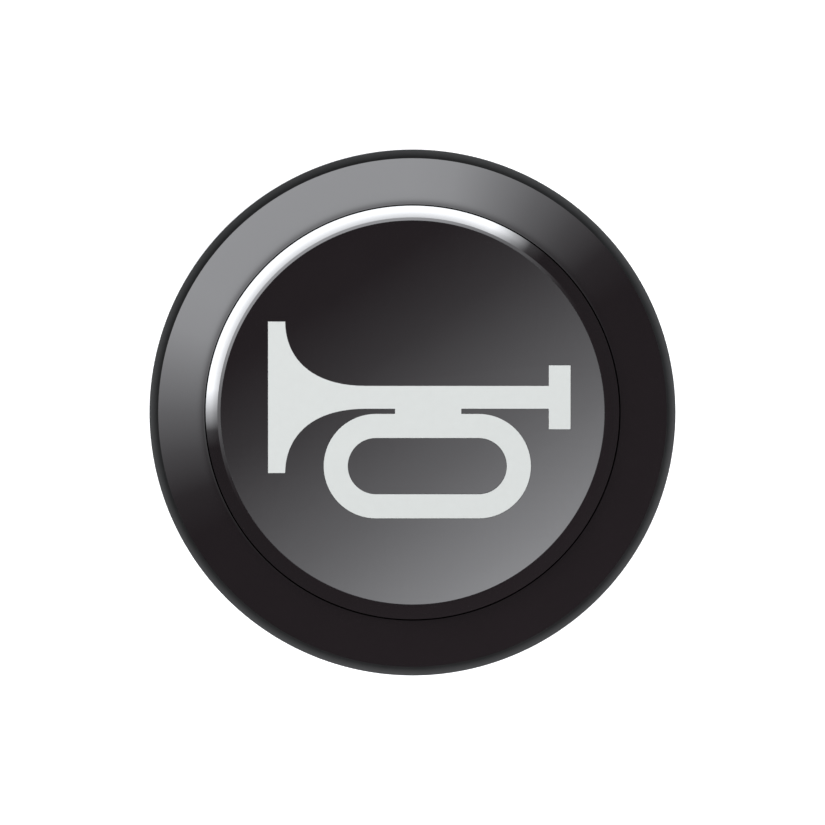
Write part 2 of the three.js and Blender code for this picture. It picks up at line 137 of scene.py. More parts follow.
class Nodes:
    """The node tree of a material or of the world."""

    def __init__(self, owner):
        owner.use_nodes = True
        self.tree = owner.node_tree
        self.tree.nodes.clear()

    def add(self, kind, settings=None, inputs=None, output=0):
        """A new node, its settings made first, then its inputs set or linked. Returns one of its outputs."""
        node = self.tree.nodes.new(kind)
        for name, setting in (settings or {}).items():
            if name == "stops":
                self.set_stops(node.color_ramp, setting)
            else:
                setattr(node, name, setting)
        for key, value in (inputs or {}).items():
            if isinstance(value, Value):
                self.tree.links.new(value.output, node.inputs[key])
            else:
                node.inputs[key].default_value = value
        return Value(self, node.outputs[output]) if len(node.outputs) else None

    @staticmethod
    def set_stops(ramp, stops):
        """Gives a colour ramp its (position, level) stops. A level is a number, or a colour of three."""
        while len(ramp.elements) < len(stops):
            ramp.elements.new(1)
        for element, (position, level) in zip(ramp.elements, stops):
            element.position = position
            element.color = (*level, 1) if isinstance(level, tuple) else (level, level, level, 1)

    def ramp(self, factor, stops, interpolation="LINEAR"):
        """A number or colour read off a ramp between (position, level) stops."""
        result = self.add("ShaderNodeValToRGB", {"stops": stops}, {"Fac": factor})
        result.output.node.color_ramp.interpolation = interpolation
        return result

    def noise(self, place, per_mm, detail=3.0, roughness=0.5):
        """Soft noise with so many features to the millimetre."""
        inputs = {"Vector": place, "Scale": per_mm / MM, "Detail": detail, "Roughness": roughness}
        return self.add("ShaderNodeTexNoise", {}, inputs)

    def mix(self, share, first, second):
        """One colour passing into another."""
        return self.add("ShaderNodeMix", {"data_type": "RGBA"}, {"Factor": share, 6: first, 7: second}, 2)

    def place(self):
        """Where a point of the piece is, in metres."""
        return self.add("ShaderNodeTexCoord", {}, {}, 3)

    def stretched(self, place, scale):
        """The same places, with each axis stretched."""
        return self.add("ShaderNodeMapping", {}, {"Vector": place, "Scale": scale})

    def bump(self, height, depth_mm):
        """A normal that follows a height from 0 to 1, depth_mm deep."""
        return self.add("ShaderNodeBump", {}, {"Height": height, "Distance": depth_mm * MM, "Strength": 1.0})

    def vector_maths(self, operation, *vectors):
        """A Vector Math node that gives a number."""
        return self.add("ShaderNodeVectorMath", {"operation": operation}, dict(enumerate(vectors)), 1)

    def surface(self, inputs):
        """The finished surface."""
        shader = self.add("ShaderNodeBsdfPrincipled", {}, inputs)
        self.add("ShaderNodeOutputMaterial", {}, {"Surface": shader})


def material(name):
    """A new material and its empty node tree."""
    made = bpy.data.materials.new(name)
    return made, Nodes(made)


# ---- Finishes ----

def lacquered_black():
    """Black plastic moulded in a polished tool: deep gloss, faint ripple and a few hairlines."""
    made, nodes = material("lacquered_black")
    place = nodes.place()
    cloud = nodes.noise(place, 0.35, 2)
    hairline = nodes.noise(nodes.stretched(place, (1, 14, 1)), 1.1, 4, 0.65)
    ripple = nodes.noise(place, 0.6, 1)
    nodes.surface({
        "Base Color": nodes.mix(cloud, (0.0091, 0.0061, 0.0071, 1), (0.0104, 0.0072, 0.0082, 1)),
        "Roughness": 0.055 + cloud * 0.02 + (hairline > 0.66) * 0.03,
        "IOR": 1.7,
        "Coat Weight": 1.0,
        "Coat Roughness": 0.03,
        "Coat IOR": 1.8,
        "Normal": nodes.bump(ripple, 0.0006),
    })
    return made


def pale_inlay():
    """Pale moulding for the bugle, matt, with a fine mottle."""
    made, nodes = material("pale_inlay")
    place = nodes.place()
    mottle = nodes.noise(place, 2.5, 4)
    nodes.surface({
        "Base Color": nodes.mix(mottle, (0.533, 0.542, 0.518, 1), (0.560, 0.570, 0.546, 1)),
        "Roughness": 0.62 + mottle * 0.1,
        "Specular IOR Level": 0.2,
        "Normal": nodes.bump(nodes.noise(place, 12, 3), 0.002),
    })
    return made


def gasket_rubber():
    """Dark rubber with a pebbled skin and a random mottle. Its outer rim is greyed in painted light, and the
    band next to the bezel is left darkest in painted shade.
    """
    made, nodes = material("gasket_rubber")
    place = nodes.place()
    bloom = nodes.noise(place, 0.5, 4, 0.6)
    grain = nodes.noise(place, 9, 3)
    from_axis = nodes.vector_maths("LENGTH", nodes.stretched(place, (1, 1, 0)))
    # painted light and shade: this radial ramp greys the outer rim and leaves the band next to the bezel
    # darkest
    edge = nodes.ramp(from_axis * (1 / MM) - 14, [(0.34, 0), (0.66, 1)])
    bezel_shaded_rubber, mottled_and_rim_lit_rubber = (0.013, 0.013, 0.013, 1), (0.072, 0.072, 0.072, 1)
    nodes.surface({
        "Base Color": nodes.mix(bloom * 0.25 + edge * 0.8, bezel_shaded_rubber, mottled_and_rim_lit_rubber),
        "Roughness": 0.7 + grain * 0.2,
        "Specular IOR Level": 0.15,
        "Normal": nodes.bump(grain, 0.008),
    })
    return made


def filled_nylon(name, dark, light, rough, grain_per_mm=7.0):
    """Glass-filled moulding: satin, with the fine grain of a spark-eroded tool and a trace of flow."""
    made, nodes = material(name)
    place = nodes.place()
    drawn = nodes.noise(nodes.stretched(place, (1, 1, 0.35)), 0.25, 5, 0.6)
    flow = nodes.ramp(drawn, [(0.36, 0), (0.64, 1)])
    grain = nodes.noise(place, grain_per_mm, 3, 0.6)
    scuff = nodes.noise(nodes.stretched(place, (1, 1, 7)), 0.8, 5, 0.7)
    marks = nodes.ramp(scuff, [(0.6, 0), (0.68, 1)])
    nodes.surface({
        "Base Color": nodes.mix(flow * 0.55 + grain * 0.2 + marks * 0.4, dark, light),
        "Roughness": rough + grain * 0.2 - marks * 0.08,
        "IOR": 1.5,
        "Normal": nodes.bump(grain, 0.02),
    })
    return made


def slick_plastic(name, dark, light, rough):
    """Unfilled moulding for sliding pieces: smooth, faintly clouded, rubbed a little shinier in streaks."""
    made, nodes = material(name)
    place = nodes.place()
    cloud = nodes.noise(place, 0.3, 4)
    streak = nodes.noise(nodes.stretched(place, (9, 9, 0.6)), 0.8, 4, 0.6)
    nodes.surface({
        "Base Color": nodes.mix(cloud, dark, light),
        "Roughness": rough + streak * 0.14,
        "IOR": 1.48,
        "Subsurface Weight": 0.08,
        "Subsurface Radius": (0.001, 0.0008, 0.0006),
        "Normal": nodes.bump(streak, 0.003),
    })
    return made


def plated_steel():
    """Zinc plate with a thin clear passivation: bright, with a bluish and a straw-coloured cloud."""
    made, nodes = material("zinc_plate")
    place = nodes.place()
    cloud = nodes.noise(place, 0.55, 4, 0.6)
    spangle = nodes.noise(place, 4, 4, 0.6)
    stain = nodes.ramp(nodes.noise(place, 0.9, 3), [(0.5, 0), (0.75, 1)])
    tint = nodes.mix(cloud, (0.60, 0.63, 0.68, 1), (0.70, 0.69, 0.64, 1))
    nodes.surface({
        "Base Color": nodes.mix(stain * 0.4, tint, (0.46, 0.45, 0.42, 1)),
        "Metallic": 1.0,
        "Roughness": 0.24 + spangle * 0.2 + stain * 0.1,
        "Normal": nodes.bump(spangle, 0.004),
    })
    return made


def drawn_wire():
    """Hard-drawn spring steel: bright grey, with fine draw lines and a faint oil film."""
    made, nodes = material("drawn_wire")
    place = nodes.place()
    lines = nodes.noise(nodes.stretched(place, (1, 1, 22)), 0.9, 4, 0.6)
    film = nodes.noise(place, 0.8, 3)
    nodes.surface({
        "Base Color": nodes.mix(film, (0.42, 0.42, 0.44, 1), (0.62, 0.61, 0.60, 1)),
        "Metallic": 1.0,
        "Roughness": 0.2 + lines * 0.22,
        "Normal": nodes.bump(lines, 0.003),
    })
    return made


def stamped_brass():
    """Rolled and stamped brass, slightly tarnished, with rolling lines along X."""
    made, nodes = material("stamped_brass")
    place = nodes.place()
    rolled = nodes.noise(nodes.stretched(place, (0.6, 14, 14)), 0.9, 4, 0.6)
    tarnish = nodes.ramp(nodes.noise(place, 0.7, 4, 0.6), [(0.42, 0), (0.7, 1)])
    nodes.surface({
        "Base Color": nodes.mix(tarnish, (0.78, 0.55, 0.24, 1), (0.50, 0.32, 0.13, 1)),
        "Metallic": 1.0,
        "Roughness": 0.2 + rolled * 0.2 + tarnish * 0.12,
        "Normal": nodes.bump(rolled, 0.002),
    })
    return made


def contact_silver():
    """Silver contact tips, coined, with a grey sulphide bloom."""
    made, nodes = material("contact_silver")
    place = nodes.place()
    bloom = nodes.noise(place, 1.6, 4, 0.6)
    nodes.surface({
        "Base Color": nodes.mix(bloom, (0.86, 0.85, 0.82, 1), (0.60, 0.58, 0.54, 1)),
        "Metallic": 1.0,
        "Roughness": 0.28 + bloom * 0.2,
        "Normal": nodes.bump(nodes.noise(place, 9, 2), 0.003),
    })
    return made


# ---- Mesh work ----


def spread(first, last, steps):
    """Numbers in equal steps, both ends included."""
    return [first + (last - first) * k / steps for k in range(steps + 1)]


def arc(centre, radius, start, end, steps=6):
    """Points on an arc, its angles in degrees."""
    turns = [math.radians(angle) for angle in spread(start, end, steps)]
    return [(centre[0] + radius * math.cos(a), centre[1] + radius * math.sin(a)) for a in turns]


def on_circle(radius, degrees):
    """One point at an angle round Z."""
    return radius * math.cos(math.radians(degrees)), radius * math.sin(math.radians(degrees))


def circle(radius, sides=64):
    """A closed outline round the axis."""
    return arc((0, 0), radius, 0, 360, sides)[:-1]


def rounded(corners, steps=5):
    """A closed outline. A corner with a third number is rounded to that radius."""
    points = []
    for i, corner in enumerate(corners):
        here = Vector(corner[:2])
        if len(corner) < 3:
            points.append(tuple(here))
            continue
        radius = corner[2]
        back = (Vector(corners[i - 1][:2]) - here).normalized()
        onward = (Vector(corners[(i + 1) % len(corners)][:2]) - here).normalized()
        half = back.angle(onward) / 2
        centre = here + (back + onward).normalized() * radius / math.sin(half)
        start = here + back * radius / math.tan(half) - centre
        end = here + onward * radius / math.tan(half) - centre
        for share in spread(0, 1, steps):
            points.append(tuple(centre + start.slerp(end, share).normalized() * radius))
    return points


def slope(start, tilts, end_r):
    """A profile running outwards and down, its tilt in degrees going through the list in equal steps."""
    points = [start]
    step = (end_r - start[0]) / len(tilts)
    for tilt in tilts:
        r, z = points[-1]
        points.append((r + step, z - step * math.tan(math.radians(tilt))))
    return points


def loop(bm, points, z=None):
    """A closed chain of edges through points, at one height if it is given."""
    verts = [bm.verts.new(p if z is None else (*p, z)) for p in points]
    return [bm.edges.new(pair) for pair in zip(verts, verts[1:] + verts[:1])]


def turned(profile, sides=ROUND):
    """A profile of (radius, height) turned about Z. It starts and ends on the axis, or closes on itself."""
    bm = bmesh.new()
    verts = [bm.verts.new((r, 0, z)) for r, z in profile]
    following = verts[1:] + verts[:1] if profile[0][0] > 0 else verts[1:]
    edges = [bm.edges.new(pair) for pair in zip(verts, following)]
    bmesh.ops.spin(
        bm, geom=verts + edges, cent=(0, 0, 0), axis=(0, 0, 1), angle=math.tau, steps=sides, use_merge=True
    )
    bmesh.ops.remove_doubles(bm, verts=bm.verts, dist=1e-5)
    bmesh.ops.recalc_face_normals(bm, faces=bm.faces)
    return bm


def moved_verts(region):
    """The points that an extrusion made."""
    return [item for item in region["geom"] if isinstance(item, bmesh.types.BMVert)]


def raised(bm, height):
    """The flat sheet in bm, raised to a solid."""
    region = bmesh.ops.extrude_face_region(bm, geom=bm.faces[:])
    bmesh.ops.translate(bm, vec=(0, 0, height), verts=moved_verts(region))
    bmesh.ops.recalc_face_normals(bm, faces=bm.faces)
    return bm


def plate(low, high, *outlines):
    """Outlines filled and raised from one height to another. The first is the edge, the others are holes."""
    bm = bmesh.new()
    edges = [edge for outline in outlines for edge in loop(bm, outline, low)]
    bmesh.ops.triangle_fill(bm, edges=edges, use_beauty=True)
    return raised(bm, high - low)


def grid_cut(bm, reach, spacing):
    """Cuts bm along a square grid, so that it can follow a curved surface."""
    count = int(reach / spacing)
    for axis in ((1, 0, 0), (0, 1, 0)):
        for k in range(-count, count + 1):
            everything = bm.verts[:] + bm.edges[:] + bm.faces[:]
            place = Vector(axis) * k * spacing
            bmesh.ops.bisect_plane(bm, geom=everything, plane_co=place, plane_no=axis, dist=1e-4)


def sharp_edges(bm, least=30):
    """Edges between two faces that turn by more than so many degrees."""
    return [e for e in bm.edges if len(e.link_faces) == 2 and e.calc_face_angle() > math.radians(least)]


def level_rims(bm, inside=0.0, outside=math.inf):
    """The sharp level edges that lie between two radii."""
    return [
        e for e in sharp_edges(bm, 60)
        if abs(e.verts[0].co.z - e.verts[1].co.z) < 1e-4
        and all(inside < vert.co.xy.length < outside for vert in e.verts)
    ]


def soften(bm, width, edges=None, segments=2):
    """Rounds edges over. All the sharp ones, unless some are named."""
    chosen = sharp_edges(bm) if edges is None else edges
    bmesh.ops.bevel(
        bm, geom=chosen, offset=width, affect="EDGES", segments=segments, profile=0.5, material=-1,
        clamp_overlap=True,
    )
    return bm


def block(low, high):
    """A box between two corners."""
    bm = bmesh.new()
    bmesh.ops.create_cube(bm, size=1)
    bmesh.ops.scale(bm, vec=Vector(high) - Vector(low), verts=bm.verts)
    bmesh.ops.translate(bm, vec=(Vector(high) + Vector(low)) / 2, verts=bm.verts)
    return bm


def rod(radius, low, high, sides=48):
    """A plain round bar along Z."""
    return turned([(0, low), (radius, low), (radius, high), (0, high)], sides)


def moved(bm, x=0.0, y=0.0, z=0.0):
    """bm, shifted."""
    bmesh.ops.translate(bm, vec=(x, y, z), verts=bm.verts)
    return bm


def spun(bm, degrees, axis):
    """bm, turned about an axis through the origin."""
    matrix = Matrix.Rotation(math.radians(degrees), 3, axis)
    bmesh.ops.rotate(bm, cent=(0, 0, 0), matrix=matrix, verts=bm.verts)
    return bm


def about_z(bm, degrees):
    """bm, turned about the button's axis."""
    return spun(bm, degrees, "Z")


def upright(bm, x):
    """A shape drawn along Z, turned to run along X at the terminal screws' height."""
    return moved(spun(bm, 90, "Y"), x, 0, SCREW_Z)


def crisp(bm, width, least=50):
    """Breaks the sharp edges of a finished shape."""
    return soften(bm, width, sharp_edges(bm, least), 2)


def as_object(bm):
    """A passing object that holds bm, for a modifier to work on."""
    mesh = bpy.data.meshes.new("shape")
    bm.to_mesh(mesh)
    bm.free()
    made = bpy.data.objects.new("shape", mesh)
    bpy.context.scene.collection.objects.link(made)
    return made


def joined(*shapes):
    """Several shapes in one mesh."""
    whole = bmesh.new()
    for shape in shapes:
        mesh = bpy.data.meshes.new("shape")
        shape.to_mesh(mesh)
        shape.free()
        whole.from_mesh(mesh)
        bpy.data.meshes.remove(mesh)
    return whole


def carved(body, *cutters):
    """body with every cutter taken out of it."""
    kept, removed = as_object(body), [as_object(cutter) for cutter in cutters]
    for cutter in removed:
        cut = kept.modifiers.new("cut", "BOOLEAN")
        cut.operation = "DIFFERENCE"
        cut.solver = "EXACT"
        cut.object = cutter
    whole = bmesh.new()
    whole.from_object(kept, bpy.context.evaluated_depsgraph_get())
    for made in (kept, *removed):
        mesh = made.data
        bpy.data.objects.remove(made)
        bpy.data.meshes.remove(mesh)
    bmesh.ops.remove_doubles(whole, verts=whole.verts, dist=1e-4)
    return whole


def made_piece(name, bm, body, nodes, finish, sharp=35):
    """Makes bm a piece that rides on a body and stands for its CAD nodes."""
    bmesh.ops.scale(bm, vec=(MM, MM, MM), verts=bm.verts)
    mesh = bpy.data.meshes.new(name)
    bm.to_mesh(mesh)
    bm.free()
    mesh.shade_smooth()
    mesh.set_sharp_from_angle(angle=math.radians(sharp))
    mesh.materials.append(finish)
    made = bpy.data.objects.new(name, mesh)
    bpy.context.scene.collection.objects.link(made)
    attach(made, body)
    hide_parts(*nodes)
    return made


# ---- Head ----


def gasket():
    """The seal under the bezel, with three beads on its panel side and a notch for the barrel's key."""
    inner, outer, top = 11.3, HEAD_R, GASKET_HIGH.z
    edge, bead, corner = 0.05, 0.12, 0.1
    section = [(inner, top - edge), (inner + edge, top), *arc((outer - edge, top - edge), edge, 90, 0, 4)]
    section += [*arc((outer - corner, bead + corner), corner, 0, -90, 4), (14.1, bead)]
    for middle in (13.8, 12.8, 11.9):
        section += arc((middle, bead), bead, 0, -180, 6)
    section.append((inner, bead))
    ring = carved(turned(section), block((-1.6, 11, -1), (1.6, 12.85, 2)))
    made_piece("gasket", ring, "housing", ["panel_gasket"], RUBBER)


def bezel():
    """The front ring. Its crown tilts by 26 degrees at the rim, and is nearly flat at the lip."""
    top, low = BEZEL_HIGH.z, BEZEL_LOW.z
    crown_r, lip_edge, foot = 8.08, 0.004, 0.15
    steep = math.radians(26)
    easy = math.asin(math.sin(steep) - (BEZEL_R - LIP_R - lip_edge) / crown_r)
    crown = []
    for tilt in spread(steep, easy, 40):
        fall = crown_r * (math.cos(easy) - math.cos(tilt))
        crown.append((BEZEL_R + crown_r * (math.sin(tilt) - math.sin(steep)), top - fall))
    lip = [(LIP_R, top - 0.014), (LIP_R, 8.8), (LIP_R + 0.1, 8.7)]
    inside = [(13.0, 8.7), (13.05, 8.65), (13.05, low + 0.1), (13.15, low)]
    profile = [(BEZEL_R - foot, low), (BEZEL_R, low + foot), *crown, *lip, *inside]
    made_piece("bezel", turned(profile), "housing", ["bezel_ring"], GLOSS, 12)


def cap():
    """The pressed cap: a rim with a steep chamfer round the recess for the face, and the stem's socket."""
    top, low = CAP_HIGH.z, CAP_LOW.z
    rim_r, crease_r, chamfer_r, steepest = FACE_R + 0.02, 10.88, 11.34, 48
    recess_z, inside_z, skirt_z, socket_r, stem_r = 9.35, 8.2, 7.2, 6.6, 5.05
    rim = slope((rim_r, top), spread(14, 24, 6), crease_r)
    chamfer = slope(rim[-1], spread(41, steepest, 12), chamfer_r)
    r, z = chamfer[-1]
    foot = (CAP_R, z - (CAP_R - r) * math.tan(math.radians(steepest)))
    skirt = [
        (CAP_R, skirt_z + 0.15), (CAP_R - 0.15, skirt_z), (10.5, skirt_z), (10.4, skirt_z + 0.1),
        (10.4, inside_z - 0.1), (10.3, inside_z),
    ]
    socket = [
        (socket_r + 0.2, inside_z), (socket_r, inside_z - 0.2), (socket_r, low + 0.1), (socket_r - 0.1, low),
        (stem_r + 0.1, low), (stem_r, low + 0.1), (stem_r, inside_z),
    ]
    profile = [
        (0, recess_z), (rim_r, recess_z), (rim_r, top - 0.01), *rim, *chamfer[1:], foot, *skirt, *socket,
        (0, inside_z),
    ]
    made_piece("cap", turned(profile), "button", ["cap_shell"], GLOSS, 5.5)


def bezier(p0, p1, p2, p3, steps=20):
    """Points on a cubic curve, its first left out."""
    points = []
    for k in range(1, steps + 1):
        t = k / steps
        a, b, c, d = (1 - t) ** 3, 3 * t * (1 - t) ** 2, 3 * t * t * (1 - t), t**3
        points.append(tuple(a * w + b * x + c * y + d * z for w, x, y, z in zip(p0, p1, p2, p3)))
    return points


def bugle_outlines(grow=0.0):
    """The bugle's outline and the eye of its loop. grow widens every edge."""
    tube_y, tube = 0.846, 0.635 + grow
    bell_left, bell_right, bell_half = -8.05 - grow, -7.1 + grow, 4.22 + grow
    mouth_left, mouth_right, mouth_half = 7.6 - grow, 8.81 + grow, 1.78 + grow
    web_left, web_right = -0.97 - grow, 2.72 + grow
    loop_left, loop_right, loop_y = -2.04, 3.69, -2.99
    outer, inner = 2.91 + grow, 1.57 - grow
    flare, pull_x, pull_y = -2.6, -5.84, 2.37
    low, high = tube_y - tube, tube_y + tube
    bell_low, bell_high = tube_y - bell_half, tube_y + bell_half
    mouth_low, mouth_high = tube_y - mouth_half, tube_y + mouth_half
    low_flare = bezier((bell_right, bell_low), (bell_right, tube_y - pull_y), (pull_x, low), (flare, low))
    high_flare = bezier((flare, high), (pull_x, high), (bell_right, tube_y + pull_y), (bell_right, bell_high))
    outline = [
        (bell_left, bell_high), (bell_left, bell_low), (bell_right, bell_low), *low_flare,
        (web_left, low), (web_left, loop_y + outer),
        *arc((loop_left, loop_y), outer, 90, 270, 40), *arc((loop_right, loop_y), outer, -90, 90, 40),
        (web_right, loop_y + outer), (web_right, low), (mouth_left, low),
        (mouth_left, mouth_low), (mouth_right, mouth_low), (mouth_right, mouth_high),
        (mouth_left, mouth_high), (mouth_left, high), (flare, high), *high_flare,
    ]
    eye = [*arc((loop_left, loop_y), inner, 90, 270, 28), *arc((loop_right, loop_y), inner, -90, 90, 28)]
    return outline, eye


GRID = 0.5  # spacing of the cuts that let a sheet follow the dish


def fill(bm, edges, mark):
    """Fills a flat outline, and marks its faces."""
    filled = bmesh.ops.triangle_fill(bm, edges=edges, use_beauty=True, normal=(0, 0, 1))
    for item in filled["geom"]:
        if isinstance(item, bmesh.types.BMFace):
            item.material_index = mark


def drape(bm):
    """Cuts a flat sheet finely, and lays it on the dish."""
    grid_cut(bm, FACE_R, GRID)
    for vert in bm.verts:
        vert.co.z = dish_height(vert.co.x, vert.co.y)


def sunk(bm, extruded, height):
    """Moves what an extrusion made to one height."""
    for vert in moved_verts(extruded):
        vert.co.z = height


def open_edges(bm):
    return [edge for edge in bm.edges if edge.is_boundary]


def face():
    """The dished disc, with a pocket for the bugle."""
    bm = bmesh.new()
    outline, eye = bugle_outlines(INLAY_GAP)
    rim_edges = loop(bm, circle(FACE_R, ROUND), 0)
    outline_edges = loop(bm, outline, 0)
    eye_edges = loop(bm, eye, 0)
    fill(bm, rim_edges + outline_edges, 0)
    fill(bm, eye_edges, 0)
    fill(bm, outline_edges + eye_edges, 1)
    drape(bm)
    covered = [f for f in bm.faces if f.material_index == 1]
    pocket = bmesh.ops.extrude_face_region(bm, geom=covered)
    bmesh.ops.delete(bm, geom=covered, context="FACES")
    sunk(bm, pocket, POCKET_Z)
    sunk(bm, bmesh.ops.extrude_edge_only(bm, edges=open_edges(bm)), FACE_LOW.z)
    bmesh.ops.holes_fill(bm, edges=open_edges(bm), sides=0)
    for item in bm.faces:
        item.material_index = 0
    bmesh.ops.recalc_face_normals(bm, faces=bm.faces)
    made_piece("face", bm, "button", ["face_disc"], GLOSS)


def bugle():
    """The pale inlay, flush with the dish."""
    bm = bmesh.new()
    outline, eye = bugle_outlines()
    fill(bm, loop(bm, outline, 0) + loop(bm, eye, 0), 0)
    drape(bm)
    sunk(bm, bmesh.ops.extrude_face_region(bm, geom=bm.faces[:]), POCKET_Z + 0.02)
    bmesh.ops.recalc_face_normals(bm, faces=bm.faces)
    made_piece("bugle", bm, "button", ["horn_symbol"], LEGEND)


# ---- Shapes that several pieces share ----


def helix_section(bm, section, pitch, turns, steps):
    """Sweeps an outline round Z, rising by pitch in each turn. Returns the outline at the far end."""
    swept = bmesh.ops.spin(
        bm, geom=section, cent=(0, 0, 0), axis=(0, 0, 1), dvec=(0, 0, pitch / steps),
        angle=math.tau * turns, steps=round(steps * turns), use_merge=False,
    )
    return swept["geom_last"]


def thread(core_r, crest_r, pitch, low, high, steps=72):
    """A screw thread's ridge, rooted a little inside the core and fading into it at both ends."""
    bm = bmesh.new()
    flank, flat, root_r = pitch * 0.46, pitch * 0.07, core_r - 0.06
    corners = [(root_r, -flank), (crest_r, -flat), (crest_r, flat), (root_r, flank)]
    section = loop(bm, [(r, 0, low + flank + z) for r, z in corners])
    verts = [v for edge in section for v in edge.verts]
    turns = int((high - low - 2 * flank) / pitch * 4) / 4
    helix_section(bm, list(set(verts)) + section, pitch, turns, steps)
    bmesh.ops.holes_fill(bm, edges=open_edges(bm), sides=0)
    for vert in bm.verts:
        reach = vert.co.xy.length
        from_end = min(vert.co.z - low, high - vert.co.z) / pitch
        wanted = root_r + (reach - root_r) * min(1, max(0.02, from_end))
        vert.co.xy *= wanted / reach
    bmesh.ops.recalc_face_normals(bm, faces=bm.faces)
    return bm


def coil(mean_r, wire, low, high, active_turns, steps=30):
    """A compression spring of round wire, its end turns closed and ground flat."""
    bm = bmesh.new()
    bmesh.ops.create_circle(bm, cap_ends=False, segments=12, radius=wire / 2)
    sunk_end = wire * 0.3  # the middle of the first turn, above the ground end
    moved(spun(bm, 90, "X"), mean_r, 0, low + sunk_end)
    closed = wire * 1.02
    pitch = (high - low - 2 * sunk_end - 2 * closed) / active_turns
    section = bm.verts[:] + bm.edges[:]
    for rise, turns in ((closed, 1), (pitch, active_turns), (closed, 1)):
        section = helix_section(bm, section, rise, turns, steps)
    bmesh.ops.holes_fill(bm, edges=open_edges(bm), sides=0)
    for height, outwards in ((low, -1), (high, 1)):
        everything = bm.verts[:] + bm.edges[:] + bm.faces[:]
        bmesh.ops.bisect_plane(
            bm, geom=everything, plane_co=(0, 0, height), plane_no=(0, 0, outwards), dist=1e-4,
            clear_outer=True,
        )
        bmesh.ops.holes_fill(bm, edges=open_edges(bm), sides=0)
    bmesh.ops.remove_doubles(bm, verts=bm.verts, dist=1e-4)
    bmesh.ops.recalc_face_normals(bm, faces=bm.faces)
    return bm


def box_outline(x, y, corner):
    """A rectangle about the middle, with rounded corners."""
    return rounded([(x, y, corner), (-x, y, corner), (-x, -y, corner), (x, -y, corner)])


def stepped(corners, low, steps=4):
    """A profile for a turned piece, from the axis at its top down to the axis at its foot."""
    return rounded([(0, corners[0][1]), *corners, (0, low)], steps)


# ---- Behind the head ----

def barrel():
    """The body: a cup round the cap, the panel spigot with its key, and the threaded barrel."""
    cup_r, web_z, wall_r, foot_z, thread_top, thread_foot = 12.9, -3.5, 9.3, -16.5, -0.9, -12.0
    groove_r, groove_top, groove_foot = 10.2, -12.8, -14.6
    section = rounded([
        (cup_r, 1.25, 0.1), (cup_r, 8.6, 0.2), (11.82, 8.6, 0.2), (11.82, 2.7, 0.3), (wall_r, 2.7, 0.2),
        (wall_r, 0.3, 0.3), (7.6, 0.3, 0.1), (7.6, -1.6, 0.1), (GUIDE_R, -1.6, 0.1), (GUIDE_R, web_z, 0.15),
        (wall_r, web_z, 0.5), (wall_r, foot_z, 0.25), (BARREL_R, foot_z, 0.3), (BARREL_R, groove_foot, 0.12),
        (groove_r, groove_foot, 0.15), (groove_r, groove_top, 0.15), (BARREL_R, groove_top, 0.12),
        (BARREL_R, thread_foot - 0.35, 0.1), (BARREL_CORE_R, thread_foot, 0.15),
        (BARREL_CORE_R, thread_top, 0.15), (BARREL_R, thread_top + 0.4, 0.1), (BARREL_R, 1.25, 0.15),
    ], 4)
    key = soften(block((-1.5, 9.9, -2), (1.5, 12.7, 1.2)), 0.15)
    ridge = thread(BARREL_CORE_R, BARREL_R - 0.02, 1.3, thread_foot - 0.1, thread_top + 0.1, 120)
    body = joined(turned(section, 144), key, ridge)
    made_piece("threaded_barrel", body, "housing", ["barrel"], NYLON, 32)


def lip_seal():
    """A wiper ring with two lips on the stem."""
    section = rounded([
        (7.5, -1.55, 0.15), (7.5, 0.0, 0.2), (6.6, 0.0, 0.15), (6.2, -0.55, 0.2), (5.6, 0.15, 0.05),
        (5.06, 0.12, 0.04), (5.3, -0.5, 0.15), (5.3, -0.95, 0.15), (5.06, -1.3, 0.04), (5.3, -1.55, 0.1),
    ], 4)
    made_piece("wiper_seal", turned(section, 96), "housing", ["lip_seal"], RUBBER)


def lock_washer():
    """A toothed washer, its teeth twisted to bite the panel and the nut."""
    low, high = box_mm("lock_washer")
    teeth, inner, root, tip, half_thick, twist = 28, 11.1, 12.7, high.x, 0.2, 0.19
    middle = (low.z + high.z) / 2
    pitch = 360 / teeth
    outline = []
    for k in range(teeth):
        outline += arc((0, 0), root, k * pitch, k * pitch + 3.2, 3)
        outline += arc((0, 0), tip, k * pitch + 4.0, k * pitch + 12.0, 5)
    bm = plate(middle - half_thick, middle + half_thick, outline, circle(inner, 112))
    bmesh.ops.subdivide_edges(bm, edges=[e for e in bm.edges if e.calc_length() > 1.2], cuts=1)
    for vert in bm.verts:
        out = max(0, vert.co.xy.length - root) / (tip - root)
        turn = math.degrees(math.atan2(vert.co.y, vert.co.x)) % pitch
        vert.co.z += twist * out * (turn - 8) / 4  # each tooth's middle is 8 degrees on, its ends 4 from that
    made_piece("toothed_washer", bm, "housing", ["lock_washer"], ZINC, 30)


def ring_nut():
    """The panel nut: six spanner notches, and a fine grip between them."""
    low, high = box_mm("ring_nut")
    outer, notch_r, half, grip, steps = high.y, 12.5, 1.5, 0.16, 48
    side = math.degrees(math.asin(half / outer))
    reach = outer * math.cos(math.radians(side))
    outline = []
    for middle in range(30, 390, 60):
        out, across = Vector(on_circle(1, middle)), Vector(on_circle(1, middle + 90))
        for distance, offset in ((reach, -half), (notch_r, -half), (notch_r, half), (reach, half)):
            outline.append(tuple(out * distance + across * offset))
        for j in range(1, steps):
            cut = grip if j % 4 in (1, 2) and 3 < j < steps - 3 else 0
            outline.append(on_circle(outer - cut, middle + side + (60 - 2 * side) * j / steps))
    nut = plate(low.z, high.z, outline, circle(BARREL_R + 0.08, 120))
    soften(nut, 0.35, level_rims(nut, inside=12), 3)
    soften(nut, 0.3, level_rims(nut, outside=11.1), 1)
    made_piece("panel_nut", nut, "housing", ["ring_nut"], NYLON, 30)


